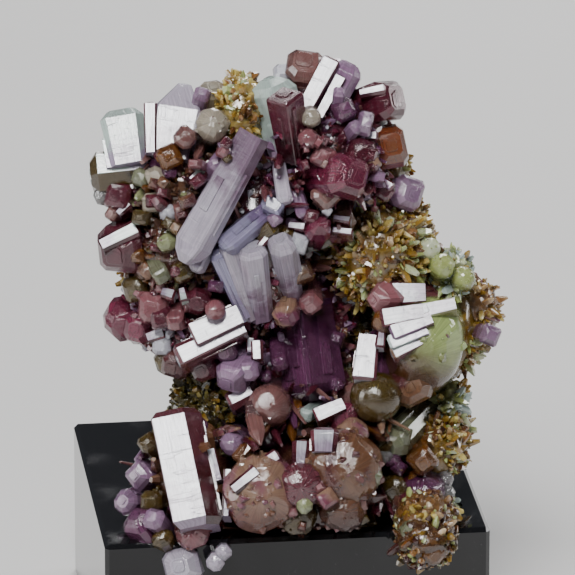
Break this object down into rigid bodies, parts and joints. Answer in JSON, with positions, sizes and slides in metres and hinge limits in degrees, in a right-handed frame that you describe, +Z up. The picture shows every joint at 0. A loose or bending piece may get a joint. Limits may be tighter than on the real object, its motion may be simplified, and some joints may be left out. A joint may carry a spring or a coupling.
{
  "type": "mineral specimen on a display block",
  "caption": "Cluster of blocky vesuvianite crystals with granular diopside, standing on a polished rectangular display block.",
  "frame": {"origin": "middle of the display block's resting face", "axes": "+Z up, front of the specimen toward -Y, +X to the right seen from the front"},
  "size_m": [0.0406, 0.0391, 0.0619],
  "materials": {
    "black_acrylic": "polished",
    "vesuvianite": "translucent crystal",
    "green_vesuvianite": "translucent crystal",
    "brown_vesuvianite": "translucent crystal",
    "diopside": "granular"
  },
  "bodies": {
    "root": {"display_block": "black_acrylic", "lower_left_crystals": "vesuvianite", "right_crystals": "green_vesuvianite", "upper_crystals": "vesuvianite", "lower_dome_crystals": "brown_vesuvianite", "lower_right_crystals": "brown_vesuvianite", "diopside_matrix": "diopside"}
  },
  "joints": []
}
